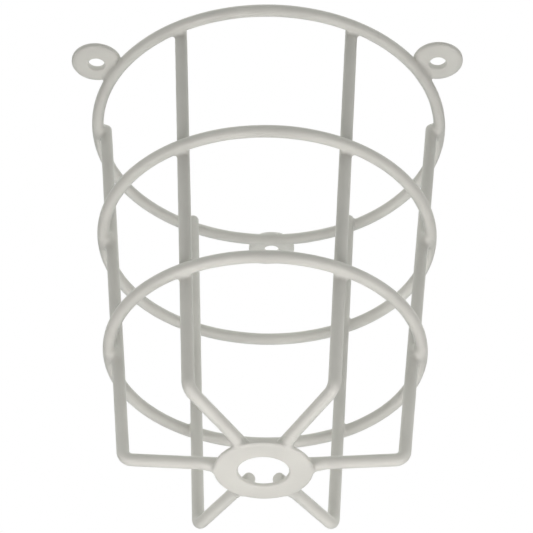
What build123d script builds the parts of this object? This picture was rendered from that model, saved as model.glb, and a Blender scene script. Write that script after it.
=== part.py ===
from build123d import *
import os
from math import cos, radians, tan

# Wire guard for a round beacon light: three rings, six bars bent inwards at the front, a washer that ties
# the bars together and three mounting lugs. All pieces are resistance welded, so each pair that meets is sunk
# into each other by a weld set-down: bars are notched by the rings, legs by the hub washer, the base ring by
# the lugs. Millimetres. +Z runs from the mounting plane to the front. The origin is the centre of the lugs'
# bolt circle, on the plane that the lugs rest on.

# Wire and welds
wire_diameter = 3.9
ring_set_down = 1.25
hub_set_down = 0.3
lug_set_down = 1.5

# Cage
overall_height = 140.0
base_ring_diameter = 114.6
middle_ring_height = 50.1
front_ring_height = 96.0
taper_angle = 5.3
bar_count = 6
tail_clearance = 0.2
tail_end_radius = 0.5
bend_radius = 3.2
leg_rise_angle = 3.0
leg_end_gap = 0.1
leg_end_edge_radius = 0.3

# Hub washer, with the rolled rim that blanking leaves on its front face
hub_diameter = 30.0
hub_hole_diameter = 15.6
hub_thickness = 1.4
hub_rim_radius = 0.7
hub_edge_radius = 0.25

# Mounting lugs, with their rolled rims up
lug_count = 3
lug_diameter = 16.2
lug_hole_diameter = 5.3
lug_thickness = 2.2
lug_rim_radius = 1.0
lug_edge_radius = 0.3
lug_overlap = 1.15
first_lug_angle = 90.0

# Places worked out from the sizes above
wire_radius = wire_diameter / 2
crossing_distance = wire_diameter - ring_set_down
taper = tan(radians(taper_angle))
leg_rise = tan(radians(leg_rise_angle))

base_ring_height = lug_thickness - lug_set_down + wire_radius
ring_offset = crossing_distance / cos(radians(taper_angle))
base_bar_radius = base_ring_diameter / 2 - ring_offset

hub_bottom = overall_height - hub_thickness
hub_seat_radius = (hub_diameter + hub_hole_diameter) / 4
leg_seat_height = hub_bottom + hub_set_down - wire_radius
leg_end_radius = hub_hole_diameter / 2 + leg_end_gap

lug_circle_radius = base_ring_diameter / 2 + lug_diameter / 2 - lug_overlap
bar_step = 360 / bar_count
lug_step = 360 / lug_count
first_bar_angle = first_lug_angle + bar_step / 2


def bar_radius(height):
    """Distance of a bar's centre line from the axis at a height."""
    return base_bar_radius - (height - base_ring_height) * taper


def leg_height(radius):
    """Height of a leg's centre line at a distance from the axis."""
    return leg_seat_height - (radius - hub_seat_radius) * leg_rise


def bend_corner():
    """Radius and height at which the lines of a bar and its leg cross."""
    run = leg_height(0) - base_ring_height
    radius = (base_bar_radius - run * taper) / (1 - leg_rise * taper)
    return radius, leg_height(radius)


def wire_ring(height):
    """A closed hoop of wire that lies on the outside of the bars."""
    return Pos(0, 0, height) * Torus(bar_radius(height) + ring_offset, wire_radius)


def washer(diameter, hole_diameter, thickness, rim_radius, edge_radius):
    """A punched washer that stands on the XY plane, with a rolled upper rim. The coat rounds its lower rim and
    the upper edge of its hole."""
    on_floor = (Align.CENTER, Align.CENTER, Align.MIN)
    blank = Cylinder(diameter / 2, thickness, align=on_floor)
    blank -= Cylinder(hole_diameter / 2, thickness, align=on_floor)
    rim = blank.faces().sort_by(Axis.Z)[-1].outer_wire().edges()
    blank = fillet(rim, rim_radius)
    upper_hole = blank.faces().sort_by(Axis.Z)[-1].inner_wires().edges()
    lower_rim = blank.faces().sort_by(Axis.Z)[0].outer_wire().edges()
    return fillet(upper_hole + lower_rim, edge_radius)


def bent_wire():
    """A bar and its leg as one round wire in the XZ plane, with a rounded tail and a deburred leg end."""
    corner_radius, corner_height = bend_corner()
    path = FilletPolyline(
        (bar_radius(tail_clearance), 0, tail_clearance),
        (corner_radius, 0, corner_height),
        (leg_end_radius, 0, leg_height(leg_end_radius)),
        radius=bend_radius,
    )
    section = Plane(origin=path @ 0, z_dir=path % 0) * Circle(wire_radius)
    wire = sweep(section, path=path)
    wire = fillet(wire.faces().filter_by(GeomType.PLANE).sort_by(Axis.Z)[0].edges(), tail_end_radius)
    return fillet(wire.faces().filter_by(GeomType.PLANE).sort_by(Axis.Z)[-1].edges(), leg_end_edge_radius)


def build_parts():
    """All pieces of the guard by name."""
    base_ring = wire_ring(base_ring_height)
    middle_ring = wire_ring(middle_ring_height)
    front_ring = wire_ring(front_ring_height)
    hub = washer(hub_diameter, hub_hole_diameter, hub_thickness, hub_rim_radius, hub_edge_radius)
    hub = Pos(0, 0, hub_bottom) * hub
    bar = bent_wire() - base_ring - middle_ring - front_ring - hub
    lug = washer(lug_diameter, lug_hole_diameter, lug_thickness, lug_rim_radius, lug_edge_radius)
    lug = Pos(lug_circle_radius, 0, 0) * lug
    lugs = [Rot(0, 0, first_lug_angle + i * lug_step) * lug for i in range(lug_count)]

    parts = {"middle_ring": middle_ring, "front_ring": front_ring, "hub_washer": hub}
    parts["base_ring"] = base_ring.cut(*lugs)
    for i in range(bar_count):
        parts[f"bar_{i + 1}"] = Rot(0, 0, first_bar_angle + i * bar_step) * bar
    for i, placed_lug in enumerate(lugs):
        parts[f"lug_{i + 1}"] = placed_lug
    return parts


os.makedirs("parts", exist_ok=True)
for name, solid in build_parts().items():
    solid.label = name
    export_step(solid, f"parts/{name}.step")
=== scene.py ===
import math
import random

import bpy
import numpy as np
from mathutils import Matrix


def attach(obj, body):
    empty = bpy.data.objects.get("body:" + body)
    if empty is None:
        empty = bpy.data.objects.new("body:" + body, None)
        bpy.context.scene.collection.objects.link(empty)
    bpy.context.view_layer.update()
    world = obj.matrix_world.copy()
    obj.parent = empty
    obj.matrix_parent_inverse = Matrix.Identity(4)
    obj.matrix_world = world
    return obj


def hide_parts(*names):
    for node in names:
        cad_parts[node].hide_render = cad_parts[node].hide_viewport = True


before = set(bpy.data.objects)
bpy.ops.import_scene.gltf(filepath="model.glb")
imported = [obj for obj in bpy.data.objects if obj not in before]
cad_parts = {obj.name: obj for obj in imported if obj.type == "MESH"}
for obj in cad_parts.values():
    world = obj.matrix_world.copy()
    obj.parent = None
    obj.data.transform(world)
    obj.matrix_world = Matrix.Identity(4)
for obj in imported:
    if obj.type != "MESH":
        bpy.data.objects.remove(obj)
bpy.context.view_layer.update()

import openvdb
from mathutils import Matrix, Vector

# Looks of a welded wire guard for a round beacon: the coated wires and washers, the rounded welds between
# them, the floor, the light and the camera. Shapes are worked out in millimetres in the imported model's
# frame, and add_mesh turns them into metres.

# Metres in a millimetre
MM = 0.001

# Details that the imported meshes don't give, as in the solids
RING_SET_DOWN = 1.25
HUB_SET_DOWN = 0.3
TAIL_CLEARANCE = 0.2
BEND_RADIUS = 3.2
LEG_RISE = math.tan(math.radians(3.0))
LEG_END_GAP = 0.1
FIRST_LUG_ANGLE = 90.0
LUG_COUNT = 3
BAR_COUNT = 6

# Ends of a bar, rounded by the coat
TAIL_ROUND = 1.9
LEG_ROUND = 1.0

# Edges of a washer, rounded by the coat: width and height of the rolled upper rim, the upper edge of the
# hole, and the lower edges
HUB_EDGES = (1.3, 0.7, 0.6, 0.25)
LUG_EDGES = (2.6, 1.2, 0.6, 0.3)

# Fillets of the welds: the range of their sizes, on the rings by where the bar stands, and the share that
# is left at the corners where a lug's rim runs into the ring
RING_FILLETS = {"near": (1.4, 1.9), "side": (2.3, 2.7), "far": (0.8, 1.2)}
HUB_FILLETS = (1.0, 1.4)
LUG_FILLETS = (1.6, 2.0)
CORNER_FILLET_SHARE = 0.35

# A bar counts as standing at the side where the sine of its angle is under this
SIDE_SINE = 0.5

# Skin of the welds: how far it lies under the pieces that they join, how far it reaches past the fillet,
# the rounding where a flat face cuts it off, the size of its mesh and the distance that stands for far
# outside it
WELD_SKIN = 0.012
WELD_REACH = 0.4
FACE_FILLET = 0.3
WELD_VOXEL = 0.15
FAR_OUTSIDE = 1.0

# Keeps a division from failing at the centre of a washer's rounded edge
LEAST_SLOPE = 1e-9

# The ramp of coat from a leg up to the hub's face: how far outside the rim it starts, how far it laps over
# the rim and how deep under the face it ends
RAMP_RUN = 4.0
RAMP_LAP = 2.0
RAMP_DEPTH = 0.05

# The butt weld that closes the front ring: its place round the ring, and its side, height and length
BUTT_ANGLE = math.radians(268.5)
BUTT_SIDE = math.radians(120)
BUTT_HEIGHT = 0.24
BUTT_LENGTH = 2.2

# Ripple of the coat: its height, the range of its wave lengths and the number of its waves
RIPPLE_HEIGHT = 0.012
RIPPLE_LENGTHS = (7.0, 15.0)
RIPPLE_WAVES = 7

# Start of the random draws for the ripple and the welds
SEED = 7

# Mesh fineness: a wire's sides, steps round a ring, length of a straight step, steps in a bend, steps round
# a washer, steps in a rounded edge and length of a step across a flat
WIRE_SIDES = 48
RING_STEPS = 360
STATION_STEP = 2.5
BEND_STEPS = 18
WASHER_STEPS = 144
EDGE_STEPS = 9
FACE_STEP = 0.5

# Tones of the coat, from pale to deep, and its roughness, from gloss to dull
COAT_PALE = (0.66, 0.65, 0.61)
WIRE_DEEP = (0.60, 0.59, 0.555)
WASHER_DEEP = (0.61, 0.60, 0.565)
WIRE_ROUGHNESS = (0.26, 0.34)
WASHER_ROUGHNESS = (0.28, 0.36)
WELD_ROUGHNESS = (0.24, 0.32)
COAT_IOR = 1.48
COAT_SPECULAR = 0.25

# Grain of the coat, in noise cells per metre: clouds in tone, with the levels at which they are deep and
# pale, haze in roughness, and orange peel, with its strength and its depth in metres
CLOUD_SCALE = 60.0
CLOUD_LEVELS = (0.30, 0.70)
HAZE_SCALE = 140.0
PEEL_SCALE = 800.0
PEEL_STRENGTH = 0.12
PEEL_DEPTH = 0.0002

# White sweep: radius of its flat floor, radius of its curve, height of its wall, and its fineness
SWEEP_FLAT = 1200.0
SWEEP_CURVE = 700.0
SWEEP_WALL = 3500.0
SWEEP_CURVE_STEPS = 12
SWEEP_STEPS = 64

# The floor lies this far under the lugs, so that their coat clears it
FLOOR_DROP = 0.05

# Camera, fitted to the photograph, with its clipping distances in metres
IMAGE_SIZE = 533
FOCAL_PIXELS = 2378.7
SENSOR_WIDTH = 36.0
CAMERA_ELEVATION = math.radians(38.721)
CAMERA_AZIMUTH = math.radians(-1.529)
CAMERA_ROLL = math.radians(180.86)
CAMERA_DISTANCE = 763.1
CAMERA_TARGET = Vector((0.0, 0.0, 60.8))
CLIP_START = 0.05
CLIP_END = 20.0

# Light: soft boxes overhead at both sides, towards the camera and away from it, a low panel behind the
# guard, and the bounce of a pale table from below. A soft box has a place, a point that it faces, a width,
# a height, a brightness and a tint.
WARM_WHITE = (1.0, 0.990, 0.979)
COOL_WHITE = (0.850, 0.990, 1.0)
TABLE_WHITE = (0.982, 1.0, 0.968)
SOFT_BOXES = {
    "left_box": ((300, 0, 500), (0, 0, 70), 310, 310, 2.66, WARM_WHITE),
    "right_box": ((-300, 0, 500), (0, 0, 70), 310, 310, 3.57, WARM_WHITE),
    "near_left_box": ((250, -250, 500), (250, -250, 0), 250, 250, 5.53, WARM_WHITE),
    "near_right_box": ((-250, -250, 500), (-250, -250, 0), 250, 250, 5.01, WARM_WHITE),
    "far_box": ((0, 250, 500), (0, 250, 0), 250, 250, 1.37, WARM_WHITE),
    "back_panel": ((0, 400, 125), (0, 0, 125), 800, 250, 1.17, COOL_WHITE),
    "table": ((0, 0, -2), (0, 0, 70), 709, 709, 0.300, TABLE_WHITE),
    "far_table": ((0, 230, -3), (0, 230, 70), 800, 340, 0.873, TABLE_WHITE),
}
TABLE_BOUNCE = 1.238

# The low lights aren't mirrored in the coat, so that the edges of the wires stay dark
LOW_LIGHTS = ("back_panel", "table", "far_table")

RINGS = ("base_ring", "middle_ring", "front_ring")

dice = random.Random(SEED)


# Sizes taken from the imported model
def node_points(node):
    """Vertices of a node's mesh, in millimetres."""
    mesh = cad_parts[node].data
    points = np.empty(len(mesh.vertices) * 3)
    mesh.vertices.foreach_get("co", points)
    return points.reshape(-1, 3) / MM


def radii_of(points):
    """Smallest and largest distance from the axis."""
    distances = np.hypot(points[:, 0], points[:, 1])
    return distances.min(), distances.max()


def heights_of(points):
    """Lowest and highest point."""
    return points[:, 2].min(), points[:, 2].max()


def ring_line(node):
    """Radius and height of a ring's centre line."""
    points = node_points(node)
    return sum(radii_of(points)) / 2, sum(heights_of(points)) / 2


ring_lines = {node: ring_line(node) for node in RINGS}
ring_inside, ring_outside = radii_of(node_points("middle_ring"))
wire_radius = (ring_outside - ring_inside) / 2

hub_points = node_points("hub_washer")
hub_hole, hub_radius = radii_of(hub_points)
hub_bottom, hub_top = heights_of(hub_points)

lug_points = node_points("lug_1")
lug_circle = sum(radii_of(lug_points)) / 2
lug_hole, lug_radius = radii_of(lug_points - [0.0, lug_circle, 0.0])
lug_bottom, lug_top = heights_of(lug_points)

base_radius, base_height = ring_lines["base_ring"]
front_radius, front_height = ring_lines["front_ring"]
bar_slope = (base_radius - front_radius) / (front_height - base_height)
ring_offset = (2 * wire_radius - RING_SET_DOWN) * math.hypot(1.0, bar_slope)
leg_seat_radius = (hub_hole + hub_radius) / 2
leg_seat_height = hub_bottom + HUB_SET_DOWN - wire_radius

# The first bar stands half a step on from the first lug
lug_angles = [math.radians(FIRST_LUG_ANGLE + i * 360 / LUG_COUNT) for i in range(LUG_COUNT)]
bar_angles = [math.radians(FIRST_LUG_ANGLE + (i + 0.5) * 360 / BAR_COUNT) for i in range(BAR_COUNT)]


def bar_radius(height):
    """Distance of a bar's centre line from the axis at a height."""
    return base_radius - ring_offset - (height - base_height) * bar_slope


def leg_height(radius):
    """Height of a leg's centre line at a distance from the axis."""
    return leg_seat_height - (radius - leg_seat_radius) * LEG_RISE


def in_plane(radius, height):
    """A point in the plane of the axis and +X."""
    return np.array([radius, 0.0, height])


# Ends of a bar in that plane, and the corner at which the lines of a bar and its leg cross
tail_height = lug_bottom + TAIL_CLEARANCE
corner_radius = bar_radius(leg_height(0.0)) / (1 - LEG_RISE * bar_slope)
leg_end_radius = hub_hole + LEG_END_GAP
bar_tail = in_plane(bar_radius(tail_height), tail_height)
bar_corner = in_plane(corner_radius, leg_height(corner_radius))
leg_end = in_plane(leg_end_radius, leg_height(leg_end_radius))


def unit(vector):
    """The vector at length one."""
    return vector / np.linalg.norm(vector)


def turned(points, angle):
    """Points turned about the axis."""
    cosine, sine = math.cos(angle), math.sin(angle)
    return points @ np.array([[cosine, sine, 0.0], [-sine, cosine, 0.0], [0.0, 0.0, 1.0]])


# The coat's ripple, the same for wires, washers and welds
def ripple_waves():
    """Wave vectors and phases of the ripple."""
    waves = []
    for _ in range(RIPPLE_WAVES):
        direction = unit(np.array([dice.gauss(0, 1) for _ in range(3)]))
        length = dice.uniform(*RIPPLE_LENGTHS)
        waves.append((direction * 2 * math.pi / length, dice.uniform(0, 2 * math.pi)))
    return waves


WAVES = ripple_waves()


def ripple(points):
    """Extra thickness of the coat at some points."""
    total = sum(np.sin(points @ vector + phase) for vector, phase in WAVES)
    return RIPPLE_HEIGHT * total / math.sqrt(RIPPLE_WAVES)


# Wires and washers, each as points and faces
def grid_faces(rows, columns, rows_close=True, columns_close=True):
    """Quads of a grid of points whose rows and columns each close into a loop or stay open."""
    faces = []
    for row in range(rows if rows_close else rows - 1):
        here = row * columns
        there = (row + 1) % rows * columns
        for column in range(columns if columns_close else columns - 1):
            beside = (column + 1) % columns
            faces.append((here + column, there + column, there + beside, here + beside))
    return faces


def flipped(faces):
    """The faces, turned to look the other way."""
    return [face[::-1] for face in faces]


def full_turn(steps):
    """Angles that divide a full turn."""
    return np.linspace(0, 2 * math.pi, steps, endpoint=False)


def spun(outline, steps, offset=0.0):
    """Points of an outline of radii and heights, spun about an upright line at an offset from the axis."""
    angles = full_turn(steps)[:, None]
    radii, heights = outline.T
    points = np.broadcast_arrays(offset + radii * np.cos(angles), radii * np.sin(angles), heights)
    return np.stack(points, axis=-1).reshape(-1, 3)


def ring_wire(node):
    """A ring of wire. The front ring has a low swelling where its ends were butt welded."""
    radius, height = ring_lines[node]
    angles = full_turn(RING_STEPS)[:, None]
    sides = full_turn(WIRE_SIDES)[None, :]
    reach = np.full((RING_STEPS, WIRE_SIDES), wire_radius)
    if node == "front_ring":
        distance = radius * (angles - BUTT_ANGLE) / BUTT_LENGTH
        reach += BUTT_HEIGHT * np.exp(-distance**2) * (1 + np.cos(sides - BUTT_SIDE)) / 2
    from_axis = radius + reach * np.cos(sides)
    points = np.stack([
        from_axis * np.cos(angles),
        from_axis * np.sin(angles),
        height + reach * np.sin(sides),
    ], axis=-1)
    return points.reshape(-1, 3), grid_faces(RING_STEPS, WIRE_SIDES)


def straight_run(start, finish):
    """Points from start up to, but not at, finish."""
    count = round(np.linalg.norm(finish - start) / STATION_STEP)
    return [start + (finish - start) * i / count for i in range(count)]


def rounded_end(point, direction, edge):
    """Points inwards from a wire's end, and the wire's radius at each of them."""
    turns = [math.pi / 2 * i / EDGE_STEPS for i in range(EDGE_STEPS + 1)]
    points = [point + direction * edge * (1 - math.cos(turn)) for turn in turns]
    radii = [wire_radius - edge * (1 - math.sin(turn)) for turn in turns]
    return points, radii


def bar_stations():
    """Centre line of a bar and its leg in the XZ plane: points, headings and wire radii."""
    up, inward = unit(bar_corner - bar_tail), unit(leg_end - bar_corner)
    turn = math.acos(up @ inward)
    setback = BEND_RADIUS * math.tan(turn / 2)
    aside = unit(inward - up * (up @ inward))
    bend_start = bar_corner - up * setback
    bend_finish = bar_corner + inward * setback
    centre = bend_start + aside * BEND_RADIUS
    bends = [turn * i / BEND_STEPS for i in range(BEND_STEPS)]

    tail_points, tail_radii = rounded_end(bar_tail, up, TAIL_ROUND)
    end_points, end_radii = rounded_end(leg_end, -inward, LEG_ROUND)
    bar = straight_run(tail_points[-1], bend_start)[1:]
    bend = [centre + BEND_RADIUS * (up * math.sin(t) - aside * math.cos(t)) for t in bends]
    leg = straight_run(bend_finish, end_points[-1])

    points = tail_points + bar + bend + leg + end_points[::-1]
    headings = [up] * (len(tail_points) + len(bar))
    headings += [up * math.cos(t) + aside * math.sin(t) for t in bends]
    headings += [inward] * (len(leg) + len(end_points))
    radii = tail_radii + [wire_radius] * (len(bar) + len(bend) + len(leg)) + end_radii[::-1]
    return np.array(points), np.array(headings), np.array(radii)


def bar_wire(angle):
    """A bar and its leg as one bent wire with rounded ends."""
    line, headings, radii = bar_stations()
    sides = full_turn(WIRE_SIDES)
    aside = np.array([0.0, 1.0, 0.0])
    across = np.cross(aside, headings)
    outward = np.cos(sides)[None, :, None] * across[:, None, :] + np.sin(sides)[None, :, None] * aside
    points = line[:, None, :] + radii[:, None, None] * outward
    points = np.vstack([points.reshape(-1, 3), line[0], line[-1]])
    faces = flipped(grid_faces(len(line), WIRE_SIDES, rows_close=False))
    last_loop = (len(line) - 1) * WIRE_SIDES
    tail_tip, leg_tip = len(points) - 2, len(points) - 1
    for side in range(WIRE_SIDES):
        beside = (side + 1) % WIRE_SIDES
        faces.append((tail_tip, beside, side))
        faces.append((leg_tip, last_loop + side, last_loop + beside))
    return turned(points, angle), faces


def washer_outline(inner, outer, bottom, top, edges):
    """Section of a washer as radii and heights, with rounded edges and its flats divided."""
    rim_width, rim_height, hole_edge, edge = edges
    corners = [
        (outer - edge, bottom + edge, edge, edge, -90),
        (outer - rim_width, top - rim_height, rim_width, rim_height, 0),
        (inner + hole_edge, top - hole_edge, hole_edge, hole_edge, 90),
        (inner + edge, bottom + edge, edge, edge, 180),
    ]
    outline = []
    for radius, height, across, along, start in corners:
        for step in range(EDGE_STEPS + 1):
            turn = math.radians(start + 90 * step / EDGE_STEPS)
            outline.append((radius + across * math.cos(turn), height + along * math.sin(turn)))
    outline = np.array(outline)
    divided = []
    for here, there in zip(outline, np.roll(outline, -1, axis=0)):
        count = math.ceil(np.linalg.norm(there - here) / FACE_STEP)
        divided.extend(here + (there - here) * i / count for i in range(count))
    return np.array(divided)


def washer(offset, inner, outer, bottom, top, edges, angle):
    """A punched washer whose centre lies at an offset from the axis."""
    outline = washer_outline(inner, outer, bottom, top, edges)
    points = spun(outline, WASHER_STEPS, offset)
    return turned(points, angle), grid_faces(WASHER_STEPS, len(outline))


# Distance fields, and the welds that round the corners between them
def ring_field(points, node):
    """Distance to a ring's surface."""
    radius, height = ring_lines[node]
    from_axis = np.hypot(points[..., 0], points[..., 1])
    return np.hypot(from_axis - radius, points[..., 2] - height) - wire_radius


def rod_field(points, start, finish, end_round):
    """Distance to a straight wire with a rounded end at its start."""
    direction = unit(finish - start)
    offset = points - start
    depth = offset @ direction
    from_line = np.linalg.norm(offset - depth[..., None] * direction, axis=-1)
    past_side = from_line - (wire_radius - end_round)
    past_end = end_round - depth
    outside = np.hypot(np.maximum(past_side, 0), np.maximum(past_end, 0))
    return outside + np.minimum(np.maximum(past_side, past_end), 0) - end_round


def capsule_field(points, start, finish):
    """Distance to a short wire with round ends."""
    span = finish - start
    share = np.clip((points - start) @ span / (span @ span), 0, 1)
    return np.linalg.norm(points - start - share[..., None] * span, axis=-1) - wire_radius


def washer_field(points, offset, inner, outer, bottom, top, edges):
    """Distance to the surface of a washer whose centre lies at an offset from the axis."""
    from_centre = np.hypot(points[..., 0] - offset, points[..., 1])
    rise = points[..., 2] - (bottom + top) / 2
    rim_width, rim_height, hole_edge, edge = edges
    at_rim = from_centre > (inner + outer) / 2
    across = np.where(rise > 0, np.where(at_rim, rim_width, hole_edge), edge)
    along = np.where(rise > 0, np.where(at_rim, rim_height, hole_edge), edge)
    past_side = np.abs(from_centre - (inner + outer) / 2) - (outer - inner) / 2 + across
    past_face = np.abs(rise) - (top - bottom) / 2 + along
    turn = np.hypot(past_side / across, past_face / along)
    slope = np.hypot(past_side / across**2, past_face / along**2)
    corner = (past_side > 0) & (past_face > 0)
    flats = np.maximum(past_side - across, past_face - along)
    return np.where(corner, turn * (turn - 1) / np.maximum(slope, LEAST_SLOPE), flats)


def blended(first, second, fillet):
    """Union of two fields with a rounded corner between them."""
    near = np.maximum(fillet - np.abs(first - second), 0) / fillet
    return np.minimum(first, second) - near**2 * fillet / 4


def weld(fields, low, high, angle, fillets, face=None, share=None, reach=0.0):
    """Closed mesh of the rounded corner between two fields. Away from the corner it lies just under both.
    A face, given as a height and a direction, up or down, stays flat. A share scales the fillet from point
    to point, and reach is the least distance from either field at which the weld ends."""
    axes = [np.arange(start, finish, WELD_VOXEL) for start, finish in zip(low, high)]
    points = np.stack(np.meshgrid(*axes, indexing="ij"), axis=-1)
    fillet = dice.uniform(*fillets)
    reach = max(reach, fillet) + WELD_REACH
    if share is not None:
        fillet = fillet * share(points)
    coat = ripple(turned(points, angle))
    first, second = [field(points) - coat for field in fields]
    skin = blended(first, second, fillet) + WELD_SKIN
    if face is not None:
        height, direction = face
        skin = -blended(-skin, coat - WELD_SKIN - direction * (points[..., 2] - height), FACE_FILLET)
    skin = np.maximum(skin, np.maximum(first, second) - reach)
    grid = openvdb.FloatGrid(background=FAR_OUTSIDE)
    grid.copyFromArray(skin.astype(np.float32))
    corners, quads = grid.convertToQuads(isovalue=0.0)
    return turned(np.array(low) + corners * WELD_VOXEL, angle), quads.tolist()


def bar_place(angle):
    """Where a bar stands as seen from the camera's side, which is -Y."""
    depth = math.sin(angle)
    if abs(depth) < SIDE_SINE:
        return "side"
    return "far" if depth > 0 else "near"


def ring_welds(node):
    """Welds between a ring and the bars."""
    radius, height = ring_lines[node]
    fields = [lambda p: ring_field(p, node), lambda p: rod_field(p, bar_tail, bar_corner, TAIL_ROUND)]
    centre = in_plane(radius - ring_offset / 2, height)
    shapes = []
    for angle in bar_angles:
        fillets = RING_FILLETS[bar_place(angle)]
        reach = 2 * wire_radius + max(fillets)
        shapes.append(weld(fields, centre - reach, centre + reach, angle, fillets))
    return shapes


def ramped_leg_field(points):
    """Distance to a leg with a ramp of coat up to the hub's face."""
    ramp_start = hub_radius + RAMP_RUN
    foot = in_plane(ramp_start, leg_height(ramp_start))
    head = in_plane(hub_radius - RAMP_LAP, hub_top - RAMP_DEPTH - wire_radius)
    return np.minimum(rod_field(points, leg_end, bar_corner, LEG_ROUND), capsule_field(points, head, foot))


def hub_welds():
    """Welds between the hub washer and the legs."""
    sizes = (0.0, hub_hole, hub_radius, hub_bottom, hub_top, HUB_EDGES)
    fields = [lambda p: washer_field(p, *sizes), ramped_leg_field]
    reach = wire_radius + max(HUB_FILLETS) + 2 * WELD_REACH
    low = (hub_hole - reach, -reach, leg_seat_height - reach)
    high = (hub_radius + reach, reach, hub_top + WELD_REACH)
    front = (hub_top, 1)
    return [
        weld(fields, low, high, angle, HUB_FILLETS, face=front, reach=RAMP_RUN)
        for angle in bar_angles
    ]


def lug_welds():
    """Welds between the base ring and the lugs, narrow where a lug's rim runs into the ring."""
    sizes = (lug_circle, lug_hole, lug_radius, lug_bottom, lug_top, LUG_EDGES)
    fields = [lambda p: ring_field(p, "base_ring"), lambda p: washer_field(p, *sizes)]
    reach = wire_radius + max(LUG_FILLETS) + 2 * WELD_REACH
    low = (base_radius - 2 * reach, -lug_radius - reach, lug_bottom - WELD_REACH)
    high = (base_radius + reach, lug_radius + reach, base_height + reach)
    underside = (lug_bottom, -1)
    corner = math.sqrt(lug_radius**2 - (lug_circle - base_radius - wire_radius)**2)

    def share(points):
        return np.interp(np.abs(points[..., 1]), (corner / 2, corner), (1.0, CORNER_FILLET_SHARE))

    return [
        weld(fields, low, high, angle, LUG_FILLETS, face=underside, share=share)
        for angle in lug_angles
    ]


# Materials
def node_maker(tree):
    """A function that adds a node to a tree and sets or links its inputs."""
    def make(kind, inputs=None):
        node = tree.nodes.new(kind)
        for socket, value in (inputs or {}).items():
            if isinstance(value, bpy.types.NodeSocket):
                tree.links.new(value, node.inputs[socket])
            else:
                node.inputs[socket].default_value = value
        return node
    return make


def new_material(name):
    """An empty node material and its node maker."""
    material = bpy.data.materials.new(name)
    material.use_nodes = True
    material.node_tree.nodes.clear()
    return material, node_maker(material.node_tree)


def coat_material(name, deep, roughness_range):
    """Pale grey powder coat: faint clouds in tone and gloss, and the fine orange peel of a baked coat."""
    material, make = new_material(name)
    place = make("ShaderNodeTexCoord").outputs["Object"]
    clouds = make("ShaderNodeTexNoise", {"Vector": place, "Scale": CLOUD_SCALE, "Detail": 3.0})
    tone = make("ShaderNodeValToRGB", {"Fac": clouds.outputs["Fac"]})
    for stop, level, colour in zip(tone.color_ramp.elements, CLOUD_LEVELS, (deep, COAT_PALE)):
        stop.position = level
        stop.color = (*colour, 1.0)
    haze = make("ShaderNodeTexNoise", {"Vector": place, "Scale": HAZE_SCALE, "Detail": 2.0})
    gloss, dull = roughness_range
    roughness = make("ShaderNodeMapRange", {
        "Value": haze.outputs["Fac"], "To Min": gloss, "To Max": dull,
    })
    peel = make("ShaderNodeTexNoise", {
        "Vector": place, "Scale": PEEL_SCALE, "Detail": 2.0, "Roughness": 0.4,
    })
    bump = make("ShaderNodeBump", {
        "Height": peel.outputs["Fac"], "Strength": PEEL_STRENGTH, "Distance": PEEL_DEPTH,
    })
    shader = make("ShaderNodeBsdfPrincipled", {
        "Base Color": tone.outputs["Color"],
        "Roughness": roughness.outputs["Result"],
        "Normal": bump.outputs["Normal"],
        "IOR": COAT_IOR,
        "Specular IOR Level": COAT_SPECULAR,
    })
    make("ShaderNodeOutputMaterial", {"Surface": shader.outputs["BSDF"]})
    return material


def floor_material():
    """Plain white sweep, as bright everywhere as white paper."""
    material, make = new_material("studio_sweep")
    shader = make("ShaderNodeEmission", {"Color": (1.0, 1.0, 1.0, 1.0), "Strength": 1.0})
    make("ShaderNodeOutputMaterial", {"Surface": shader.outputs["Emission"]})
    return material


# Pieces
def add_object(name, data):
    """A new object in the scene."""
    item = bpy.data.objects.new(name, data)
    bpy.context.scene.collection.objects.link(item)
    return item


def add_mesh(name, points, faces, material):
    """A smooth mesh object from points in millimetres."""
    mesh = bpy.data.meshes.new(name)
    mesh.from_pydata((points * MM).tolist(), [], faces)
    mesh.shade_smooth()
    mesh.materials.append(material)
    return add_object(name, mesh)


def lay_coat(mesh):
    """Moves a mesh's points out or in by the coat's ripple."""
    points = np.empty(len(mesh.vertices) * 3)
    normals = np.empty(len(mesh.vertices) * 3)
    mesh.vertices.foreach_get("co", points)
    mesh.vertex_normals.foreach_get("vector", normals)
    points, normals = points.reshape(-1, 3), normals.reshape(-1, 3)
    points += normals * ripple(points / MM)[:, None] * MM
    mesh.vertices.foreach_set("co", points.ravel())
    mesh.update()


def add_piece(name, shapes, material):
    """One piece of the guard from several shapes."""
    all_points, all_faces, start = [], [], 0
    for points, faces in shapes:
        all_points.append(points)
        all_faces.extend([tuple(start + corner for corner in face) for face in faces])
        start += len(points)
    piece = add_mesh(name, np.vstack(all_points), all_faces, material)
    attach(piece, "root")
    return piece


def add_coated(node, shape, material):
    """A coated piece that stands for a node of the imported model."""
    piece = add_piece(node + "_coated", [shape], material)
    lay_coat(piece.data)
    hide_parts(node)


wire_coat = coat_material("powder_coat_wire", WIRE_DEEP, WIRE_ROUGHNESS)
washer_coat = coat_material("powder_coat_washer", WASHER_DEEP, WASHER_ROUGHNESS)
weld_coat = coat_material("powder_coat_weld", WIRE_DEEP, WELD_ROUGHNESS)

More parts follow.
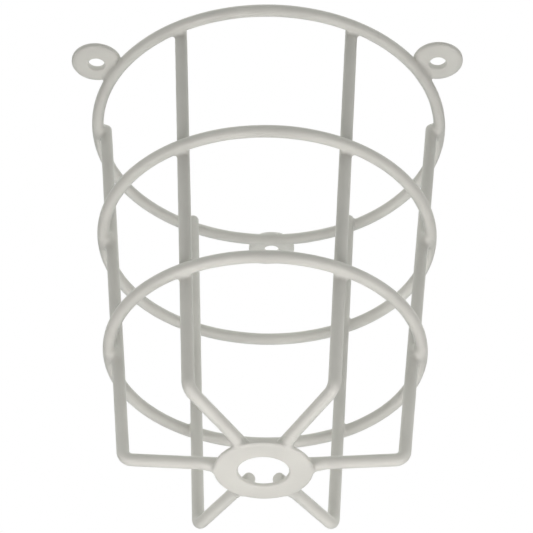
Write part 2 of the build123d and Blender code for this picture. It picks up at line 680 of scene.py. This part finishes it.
for ring in RINGS:
    add_coated(ring, ring_wire(ring), wire_coat)
    add_piece(ring + "_welds", ring_welds(ring), weld_coat)
for number, bar_angle in enumerate(bar_angles, 1):
    add_coated(f"bar_{number}", bar_wire(bar_angle), wire_coat)
hub_shape = washer(0.0, hub_hole, hub_radius, hub_bottom, hub_top, HUB_EDGES, 0.0)
add_coated("hub_washer", hub_shape, washer_coat)
add_piece("hub_welds", hub_welds(), weld_coat)
for number, lug_angle in enumerate(lug_angles, 1):
    lug_shape = washer(lug_circle, lug_hole, lug_radius, lug_bottom, lug_top, LUG_EDGES, lug_angle)
    add_coated(f"lug_{number}", lug_shape, washer_coat)
add_piece("lug_welds", lug_welds(), weld_coat)


# Studio
def add_sweep():
    """A white floor that curves up into a wall all round. It lights nothing."""
    profile = [(0.0, 0.0), (SWEEP_FLAT, 0.0)]
    for step in range(1, SWEEP_CURVE_STEPS + 1):
        turn = math.pi / 2 * step / SWEEP_CURVE_STEPS
        radius = SWEEP_FLAT + SWEEP_CURVE * math.sin(turn)
        profile.append((radius, SWEEP_CURVE * (1 - math.cos(turn))))
    profile.append((SWEEP_FLAT + SWEEP_CURVE, SWEEP_WALL))
    profile = np.array(profile) - [0.0, FLOOR_DROP]
    faces = flipped(grid_faces(SWEEP_STEPS, len(profile), columns_close=False))
    sweep = add_mesh("studio_sweep", spun(profile, SWEEP_STEPS), faces, floor_material())
    sweep.visible_diffuse = False
    sweep.visible_glossy = False
    sweep.visible_shadow = False


def add_soft_box(name, place, facing, width, height, brightness, tint):
    """A flat lamp that shines evenly from its whole face and isn't seen itself."""
    data = bpy.data.lights.new(name, "AREA")
    data.shape = "RECTANGLE"
    data.size, data.size_y = width * MM, height * MM
    data.energy = brightness * math.pi * data.size * data.size_y
    data.color = tint
    lamp = add_object(name, data)
    lamp.location = Vector(place) * MM
    lamp.rotation_euler = (Vector(facing) - Vector(place)).to_track_quat("-Z", "Y").to_euler()
    lamp.visible_camera = False
    lamp.visible_glossy = name not in LOW_LIGHTS


def add_table_bounce():
    """Soft light from all round below the horizon, strongest straight from below."""
    world = bpy.data.worlds.new("table_bounce")
    bpy.context.scene.world = world
    world.use_nodes = True
    world.node_tree.nodes.clear()
    make = node_maker(world.node_tree)
    place = make("ShaderNodeTexCoord").outputs["Generated"]
    height = make("ShaderNodeSeparateXYZ", {"Vector": place}).outputs["Z"]
    level = make("ShaderNodeMapRange", {
        "Value": height, "From Min": -1.0, "From Max": 0.0, "To Min": TABLE_BOUNCE, "To Max": 0.0,
    })
    sky = make("ShaderNodeBackground", {"Color": (*TABLE_WHITE, 1.0), "Strength": level.outputs["Result"]})
    make("ShaderNodeOutputWorld", {"Surface": sky.outputs["Background"]})


def add_camera():
    """Camera at the photograph's viewing angle, turned over as the guard is in the photograph."""
    data = bpy.data.cameras.new("camera")
    data.sensor_width = SENSOR_WIDTH
    data.lens = FOCAL_PIXELS / IMAGE_SIZE * SENSOR_WIDTH
    data.clip_start, data.clip_end = CLIP_START, CLIP_END
    camera = add_object("camera", data)
    level = math.cos(CAMERA_ELEVATION)
    back = Vector((
        level * math.sin(CAMERA_AZIMUTH),
        -level * math.cos(CAMERA_AZIMUTH),
        math.sin(CAMERA_ELEVATION),
    ))
    place = (CAMERA_TARGET + back * CAMERA_DISTANCE) * MM
    look = (-back).to_track_quat("-Z", "Y").to_matrix().to_4x4()
    camera.matrix_world = Matrix.Translation(place) @ look @ Matrix.Rotation(CAMERA_ROLL, 4, "Z")
    bpy.context.scene.camera = camera


add_sweep()
for box, settings in SOFT_BOXES.items():
    add_soft_box(box, *settings)
add_table_bounce()
add_camera()
bpy.context.scene.view_settings.view_transform = "Standard"
